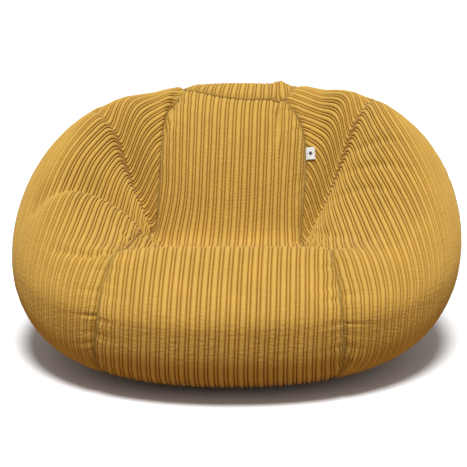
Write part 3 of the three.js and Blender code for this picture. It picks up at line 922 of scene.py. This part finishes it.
def fuzzy_tape(colours):
    """Hook and loop tape: small loops over its face."""
    colour = (*colours.liner, 1)
    material, tree, shader = new_material("Closure tape", Base_Color=colour, Roughness=0.85, Sheen_Weight=0.3)
    grain = attribute_in(tree, "grain")[1]
    loops = node_in(tree, "TexVoronoi", Vector=grain, Scale=900.0).outputs["Distance"]
    tone = ramp_in(tree, loops, (0.1, colour), (0.7, shade_of(colour, 0.7)))
    tree.links.new(tone, shader.inputs["Base Color"])
    bump_in(tree, shader, loops, 0.0006)
    return material


# ---- Settings ----
def length_setting(name, description, default, low, high):
    return bpy.props.FloatProperty(
        name=name, description=description, default=default, min=low, max=high, unit="LENGTH", precision=4
    )


def colour_setting(name, description, default):
    return bpy.props.FloatVectorProperty(
        name=name, description=description, default=default, size=3, min=0, max=1, subtype="COLOR"
    )


class BeanBagSizes(bpy.types.PropertyGroup):
    rib_repeat: length_setting("Rib repeat", "Width of one wide and one narrow rib", 0.017, 0.004, 0.04)
    wide_share: bpy.props.FloatProperty(
        name="Wide rib", description="Share of the repeat that the wide rib takes", default=0.65, min=0.5, max=0.95,
        subtype="FACTOR",
    )
    wide_height: length_setting("Wide rib height", "Height of a wide rib above its groove", 0.0042, 0.0005, 0.006)
    narrow_height: length_setting("Narrow rib height", "Height of a narrow rib", 0.0039, 0.0005, 0.006)
    seam_dip: length_setting("Seam dip", "How far the cover is drawn in along a seam", 0.0052, 0.0, 0.007)
    cover_depth: length_setting("Cover depth", "From the outside of the cover to its lining side", 0.0102, 0.008, 0.0108)
    gore_rows: bpy.props.IntProperty(name="Gore rows", description="Rows of faces down a gore", default=220, min=60)
    cap_rows: bpy.props.IntProperty(name="Cap rows", description="Rows of faces across the cap", default=64, min=20)


class BeanBagColours(bpy.types.PropertyGroup):
    corduroy: colour_setting("Corduroy", "Colour of the ribs", (0.55, 0.345, 0.076))
    # Painted shade: the share of the corduroy's colour left at the bottoms of the grooves, where the ribs shade them.
    shaded_groove: colour_setting("Groove", "How much colour is left at the bottom of a groove", (0.3, 0.15, 0.02))
    base: colour_setting("Base", "Colour of the zip tapes", (0.5, 0.3, 0.08))
    coil: colour_setting("Zip coil", "Colour of the nylon coils", (0.55, 0.33, 0.1))
    metal: colour_setting("Metal", "Colour of the slider and the stops", (0.6, 0.6, 0.58))
    label: colour_setting("Label", "Ground colour of the labels", (0.78, 0.78, 0.76))
    liner: colour_setting("Liner", "Colour of the liner", (0.8, 0.79, 0.75))
    beads: colour_setting("Beads", "Colour of the fill", (0.88, 0.88, 0.87))
    floor: colour_setting("Floor", "Colour of the floor", (0.9, 0.9, 0.9))


MADE = {}


def the_skin():
    if "skin" not in MADE:
        MADE["skin"] = Skin()
    return MADE["skin"]


def finish_of(name):
    """A material of the bag, made the first time that it is asked for."""
    if name in MADE:
        return MADE[name]
    colours = bpy.context.scene.bean_bag_colours
    if "pile" not in MADE:
        MADE["pile"] = pile_group()
        MADE["weave"] = weave_group()
    makers = {
        "corduroy": lambda: corduroy("Corduroy", MADE["pile"], colours),
        "base_corduroy": lambda: corduroy("Base corduroy", MADE["pile"], colours, 0.0006),
        "tape": lambda: woven("Zip tape", MADE["weave"], colours.base, 1800.0, 0.0003),
        "liner": lambda: woven("Liner cloth", MADE["weave"], colours.liner, 1400.0, 0.0003),
        "label": lambda: label_material(MADE["weave"], colours),
        "metal": lambda: zip_metal(colours),
        "coil": lambda: coil_nylon(colours),
        "closure": lambda: fuzzy_tape(colours),
        "beads": lambda: bead_material(colours),
    }
    MADE[name] = makers[name]()
    return MADE[name]


# ---- Operators ----
class BEANBAG_OT_gores(bpy.types.Operator):
    """Sew the six gores of the cover"""

    bl_idname = "bean_bag.gores"
    bl_label = "Gores"

    def execute(self, context):
        sizes = context.scene.bean_bag_sizes
        for index, node in enumerate(GORE_NAMES):
            piece = ribbed_object(node + "_cloth", gore_grids(the_skin(), index, sizes), finish_of("corduroy"))
            take_over(piece, BAG, "cord", node)
        return {"FINISHED"}


class BEANBAG_OT_cap(bpy.types.Operator):
    """Sew the cap at the top of the backrest"""

    bl_idname = "bean_bag.cap"
    bl_label = "Cap"

    def execute(self, context):
        grids = cap_grids(the_skin(), context.scene.bean_bag_sizes)
        piece = ribbed_object("top_cap_cloth", grids, finish_of("corduroy"))
        take_over(piece, BAG, "cord", "top_cap")
        return {"FINISHED"}


class BEANBAG_OT_base(bpy.types.Operator):
    """Lay the two halves of the base"""

    bl_idname = "bean_bag.base"
    bl_label = "Base"

    def execute(self, context):
        sizes = context.scene.bean_bag_sizes
        for node, side in (("base_front_half", -1), ("base_rear_half", 1)):
            piece = base_half(the_skin(), node, side, sizes, finish_of("base_corduroy"))
            take_over(piece, BAG, "base_cloth", node)
        return {"FINISHED"}


class BEANBAG_OT_labels(bpy.types.Operator):
    """Sew in the flag label and the care label"""

    bl_idname = "bean_bag.labels"
    bl_label = "Labels"

    def execute(self, context):
        flag_label()
        care_label()
        return {"FINISHED"}


class BEANBAG_OT_zip(bpy.types.Operator):
    """Make the zip: tapes, coils, slider and stops"""

    bl_idname = "bean_bag.zip"
    bl_label = "Zip"

    def execute(self, context):
        make_zip()
        return {"FINISHED"}


class BEANBAG_OT_inside(bpy.types.Operator):
    """Make the liner, its closure and the bead fill"""

    bl_idname = "bean_bag.inside"
    bl_label = "Liner and fill"

    def execute(self, context):
        make_inside(the_skin())
        return {"FINISHED"}


class BEANBAG_OT_stage(bpy.types.Operator):
    """Set the floor, the lights and the camera"""

    bl_idname = "bean_bag.stage"
    bl_label = "Stage"

    def execute(self, context):
        make_stage(context.scene)
        return {"FINISHED"}


OPERATORS = (
    BEANBAG_OT_gores,
    BEANBAG_OT_cap,
    BEANBAG_OT_base,
    BEANBAG_OT_labels,
    BEANBAG_OT_zip,
    BEANBAG_OT_inside,
    BEANBAG_OT_stage,
)


class BEANBAG_PT_panel(bpy.types.Panel):
    """The bag's pieces, in the order in which they are made"""

    bl_idname = "BEANBAG_PT_panel"
    bl_label = "Bean bag chair"
    bl_space_type = "VIEW_3D"
    bl_region_type = "UI"
    bl_category = "Bean bag"

    def draw(self, context):
        layout = self.layout
        for group in (context.scene.bean_bag_sizes, context.scene.bean_bag_colours):
            box = layout.box()
            for key in group.__annotations__:
                box.prop(group, key)
        for operator in OPERATORS:
            layout.operator(operator.bl_idname)


# ---- The smaller pieces ----
def flag_label():
    """A ribbon folded in two, stitched into the seam at its open end, with a plain lozenge woven in."""
    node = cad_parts["label_flag"]
    corners = np.array([v.co for v in node.data.vertices]) / MM
    middle = (corners.min(0) + corners.max(0)) / 2
    middle = corners.mean(0)
    spread = np.linalg.svd(corners - middle)[2]
    along, across, out = spread
    out = out * np.sign(-out[1])
    along = along * np.sign(along[2])
    across = np.cross(along, out)
    width = np.ptp((corners - middle) @ across)
    length = np.ptp((corners - middle) @ along)
    thin = 0.42
    half = length / 2
    bend = 0.5

    def fold(points, share):
        """Two layers joined by a rounded fold at the outer end."""
        run = share[:, 0] * 2
        upper = run > 1
        reach = np.where(upper, 2 - run, run)
        gap = 0.2 + bend * np.sin(math.pi * np.clip(reach, 0, 1)) ** 0.7
        level = np.where(upper, 1, -1) * (gap * np.clip((1 - reach) * 8, 0, 1) ** 0.5) * 0.5
        x = (reach - 0.5) * width
        clear_of_ribs = 3.0 * ease(0, 0.3, reach)
        lift = clear_of_ribs + 0.9 * ease(0.3, 1, reach) * (0.6 + 0.4 * np.sin(2.2 * share[:, 1]))
        z = level + (share[:, 2] - 0.5) * thin * np.where(upper, -1, 1) + lift
        return middle + x[:, None] * across + points[:, 1:2] * along + z[:, None] * out

    piece = block_grid("flag_label", (-width, -half, -thin / 2), (width, half, thin / 2), (48, 30, 1),
                       finish_of("label"), fold)
    count = len(piece.data.vertices)
    grain = np.zeros(count * 3)
    piece.data.attributes["grain"].data.foreach_get("vector", grain)
    grain = grain.reshape(-1, 3) / MM
    lozenge = 1 - (np.abs(np.abs(grain[:, 0]) - 0.5 * width) / (0.24 * width) + np.abs(grain[:, 1]) / (0.2 * length))
    mark = piece.data.attributes.new("mark", "FLOAT", "POINT")
    mark.data.foreach_set("value", (0.5 + lozenge).astype(np.float32))
    take_over(piece, "flag", "label_cloth", "label_flag")


def care_label():
    """A satin label that lies on the base's inner face, curling a little at its free end."""
    low, high = node_box("care_label")

    def curl(points, share):
        points = points.copy()
        points[:, 2] += 0.8 * ease(0.5, 1, share[:, 1]) * (0.7 + 0.3 * np.sin(5 * share[:, 0]))
        return points

    high = high.copy()
    high[2] = low[2] + 0.35
    piece = block_grid("care_label_cloth", low, high, (24, 32, 1), finish_of("label"), curl)
    count = len(piece.data.vertices)
    piece.data.attributes.new("mark", "FLOAT", "POINT").data.foreach_set("value", np.zeros(count, np.float32))
    take_over(piece, BAG, "label_cloth", "care_label")


def make_zip():
    for node, side in (("zip_tape_front", -1), ("zip_tape_rear", 1)):
        low, high = node_box(node)

        def rolled(points, share, side=side):
            points = points.copy()
            points[:, 2] += 0.18 * np.sin(points[:, 0] / 5.5) * bell(share[:, 1], 0.5, 0.3)
            return points

        piece = block_grid(node + "_cloth", low, high, (160, 12, 2), finish_of("tape"), rolled, 0.25)
        take_over(piece, BAG, "zip_tape", node)
    for node, side in (("zip_coil_front", -1), ("zip_coil_rear", 1)):
        low, high = node_box(node)
        piece = tube_object(node + "_wire", coil_line(low, high, side), 0.42, 6, finish_of("coil"))
        take_over(piece, BAG, "zip_nylon", node)
    for node in ("zip_stop_closed_end", "zip_stop_open_end"):
        low, high = node_box(node)
        piece = block_grid(node + "_clamp", low, high, (8, 14, 8), finish_of("metal"), None, 0.7)
        take_over(piece, BAG, "zip_metal", node)
    slider()


def slider():
    """Two plates joined by a wedge between the coils: wide at the shoulders, narrow at the tail."""
    low, high = node_box("zip_slider")
    middle = (low + high) / 2
    plate = 1.0
    parts = []

    def waisted(points, share):
        points = points.copy()
        taper = 1 - 0.24 * ease(0.2, 1, share[:, 0])
        points[:, 1] = middle[1] + (points[:, 1] - middle[1]) * taper
        return points

    for name, bottom in (("lower", low[2]), ("upper", high[2] - plate)):
        a = (low[0], low[1], bottom)
        b = (high[0], high[1], bottom + plate)
        parts.append(block_grid("zip_slider_" + name + "_plate", a, b, (20, 18, 4), finish_of("metal"), waisted, 0.4))
    web = block_grid("zip_slider_wedge", (low[0] + 0.6, middle[1] - 0.35, low[2] + plate * 0.5),
                     (high[0] - 0.8, middle[1] + 0.35, high[2] - plate * 0.5), (16, 4, 8), finish_of("metal"))
    for part in (*parts, web):
        take_over(part, "slider", "zip_metal")
    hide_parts("zip_slider")


def make_inside(skin):
    rows = np.linspace(0.2, CAP_ROWS + GORE_ROWS + BASE_ROWS - 0.2, 97)
    for node, middle in (("liner_front_half", 0.0), ("liner_rear_half", math.pi)):
        turns = middle + np.linspace(-math.pi / 2 + 0.002, math.pi / 2 - 0.002, 97)
        piece = layer_object(node + "_cloth", skin, turns, rows, LINER_DEPTH + 0.4, LINER_THICKNESS - 0.4,
                             finish_of("liner"), 0.3, 70)
        take_over(piece, BAG, "liner_cloth", node)
    for node, depth in (("liner_closure_hook", 10.3), ("liner_closure_loop", 10.9)):
        piece = layer_object(node + "_tape", skin, math.pi / 2 + np.linspace(-0.05, 0.05, 13),
                             np.linspace(9, 13, 61), depth, 0.45, finish_of("closure"), 0.03, 75)
        take_over(piece, BAG, "closure_tape", node)
    fill = fill_object(skin)
    take_over(fill, BAG, "beads", "bead_fill")


def fill_object(skin):
    """The heap of beads, as one closed surface with a vertex at each pole."""
    turns = np.linspace(0, 2 * math.pi, 193)[:-1]
    rows = np.linspace(0, CAP_ROWS + GORE_ROWS + BASE_ROWS, 97)[1:-1]
    turn, row = np.meshgrid(turns, rows)
    depth = FILL_DEPTH - 0.5 * ripple(turn * 380, 81) * ripple(row * 45, 82)
    ring = layer_points(skin, turn, row, depth)
    poles = layer_points(skin, np.zeros(2), np.array([0.0, rows[-1] + rows[0]]), np.full(2, FILL_DEPTH))
    count = len(turns)
    index = np.arange(ring[..., 0].size).reshape(len(rows), count)
    nearby = np.roll(index, -1, axis=1)
    faces = two_triangles(index[:-1], index[1:], nearby[1:], nearby[:-1])
    top, bottom = ring[..., 0].size, ring[..., 0].size + 1
    first = np.stack([np.full(count, top), index[0], nearby[0]], -1)
    last = np.stack([np.full(count, bottom), nearby[-1], index[-1]], -1)
    points = np.concatenate([ring.reshape(-1, 3), poles])
    return mesh_object("bead_fill_heap", points, np.concatenate([faces, first, last]), finish_of("beads"))


# ---- Stage ----
def area_light(name, place, target, size, power, colour=(1, 1, 1)):
    data = bpy.data.lights.new(name, "AREA")
    data.shape = "DISK"
    data.size = size
    data.energy = power
    data.color = colour
    light = bpy.data.objects.new(name, data)
    light.location = place
    light.rotation_mode = "QUATERNION"
    light.rotation_quaternion = (Vector(target) - Vector(place)).to_track_quat("-Z", "Y")
    bpy.context.scene.collection.objects.link(light)


def make_stage(scene):
    colours = scene.bean_bag_colours
    material, tree, shader = new_material("Floor paint", Base_Color=(*colours.floor, 1), Roughness=0.7)
    where = node_in(tree, "TexCoord").outputs["Object"]
    mottle = node_in(tree, "TexNoise", Vector=where, Scale=1.5, Detail=3.0).outputs[0]
    tone = ramp_in(tree, mottle, (0.3, shade_of(colours.floor, 0.985)), (0.7, (*colours.floor, 1)))
    seen = node_in(tree, "LightPath").outputs["Is Camera Ray"]
    tree.links.new(mixed(tree, seen, (0.3, 0.17, 0.06, 1), tone), shader.inputs["Base Color"])
    mesh = bpy.data.meshes.new("floor")
    reach = 40.0
    level = CAD_LOW.z - 0.0005
    mesh.from_pydata([(-reach, -reach, level), (reach, -reach, level), (reach, reach, level), (-reach, reach, level)],
                     [], [(0, 1, 2, 3)])
    mesh.materials.append(material)
    floor = bpy.data.objects.new("floor", mesh)
    scene.collection.objects.link(floor)

    world = bpy.data.worlds.new("Studio")
    world.use_nodes = True
    sky = world.node_tree
    seen = node_in(sky, "LightPath").outputs["Is Camera Ray"]
    tone = mixed(sky, seen, (0.35, 0.35, 0.35, 1), (1, 1, 1, 1))
    sky.links.new(tone, sky.nodes["Background"].inputs[0])
    scene.world = world
    aim = (0, 0, CAD_HIGH.z * 0.45)
    sun = bpy.data.lights.new("Key", "SUN")
    sun.energy = 3.8
    sun.angle = math.radians(18)
    key = bpy.data.objects.new("Key", sun)
    key.rotation_mode = "QUATERNION"
    key.rotation_quaternion = Vector((0.0, 0.3, -1.0)).to_track_quat("-Z", "Y")
    scene.collection.objects.link(key)
    area_light("Fill", (1.6, -3.2, 1.5), aim, 2.2, 6)
    scene.view_settings.view_transform = "Standard"

    focus = Vector((0, 0, 0.431 * CAD_HIGH.z))
    elevation = math.radians(12.5)
    distance = 2.3
    camera = bpy.data.objects.new("Camera", bpy.data.cameras.new("Camera"))
    camera.location = focus + distance * Vector((0, -math.cos(elevation), math.sin(elevation)))
    camera.rotation_mode = "QUATERNION"
    camera.rotation_quaternion = (focus - camera.location).to_track_quat("-Z", "Y")
    camera.data.sensor_width = 36.0
    camera.data.lens = 86.7
    camera.data.shift_x = -0.0075
    scene.collection.objects.link(camera)
    scene.camera = camera


CLASSES = (BeanBagSizes, BeanBagColours, *OPERATORS, BEANBAG_PT_panel)


def register():
    for item in CLASSES:
        bpy.utils.register_class(item)
    bpy.types.Scene.bean_bag_sizes = bpy.props.PointerProperty(type=BeanBagSizes)
    bpy.types.Scene.bean_bag_colours = bpy.props.PointerProperty(type=BeanBagColours)


def unregister():
    del bpy.types.Scene.bean_bag_colours
    del bpy.types.Scene.bean_bag_sizes
    for item in reversed(CLASSES):
        bpy.utils.unregister_class(item)


def main():
    register()
    for operator in OPERATORS:
        getattr(bpy.ops.bean_bag, operator.bl_idname.split(".")[1])()


if __name__ == "__main__":
    main()
